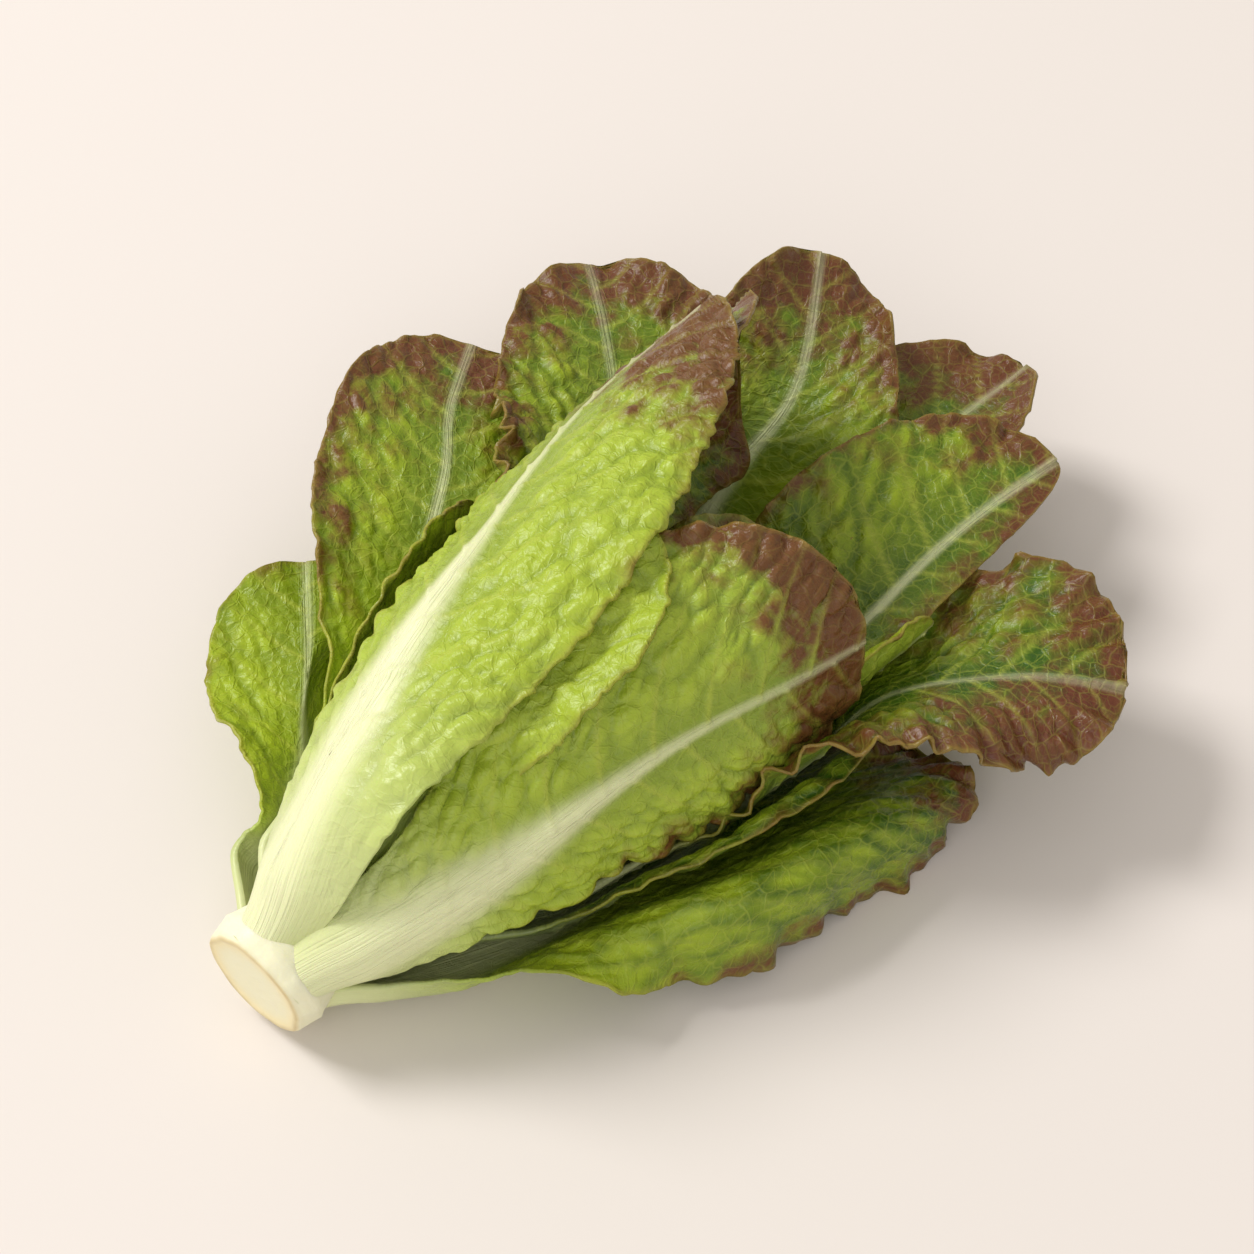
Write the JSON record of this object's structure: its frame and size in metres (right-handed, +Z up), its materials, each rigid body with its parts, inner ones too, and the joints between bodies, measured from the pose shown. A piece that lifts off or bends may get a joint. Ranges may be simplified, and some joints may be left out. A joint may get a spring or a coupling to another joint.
{
  "type": "red romaine lettuce",
  "caption": "Loose head of red romaine lettuce lying on its side, with a cut stem, pale ribs and long ruffled green leaves with red-brown tips.",
  "frame": {"origin": "middle of the bounding box's bottom, on the table", "axes": "+X from the cut stem to the leaf tips, +Z up from the table, +Y to the far side"},
  "size_m": [0.311, 0.2424, 0.1151],
  "materials": {
    "stem_pale": "matte cut stem",
    "heart_green": "soft satin",
    "leaf_green": "waxy satin",
    "leaf_red": "waxy satin"
  },
  "bodies": {
    "root": {"stem": "stem_pale", "leaf_inner_top": "leaf_red", "leaf_long_near": "leaf_red", "leaf_far_rib": "leaf_red", "leaf_long_under": "leaf_red", "leaf_wide_far": "leaf_red", "leaf_front": "leaf_red", "leaf_top": "leaf_red", "leaf_strip_left": "leaf_red", "leaf_open_left": "leaf_red", "leaf_floor": "leaf_red", "leaf_right": "leaf_red", "leaf_near_under": "leaf_red", "leaf_low_right": "leaf_red", "leaf_small_near": "leaf_green", "leaf_under_wrapper": "leaf_green", "leaf_low_left": "leaf_green", "leaf_heart_top": "heart_green", "leaf_heart_under": "heart_green", "leaf_heart_near": "heart_green"}
  },
  "joints": []
}
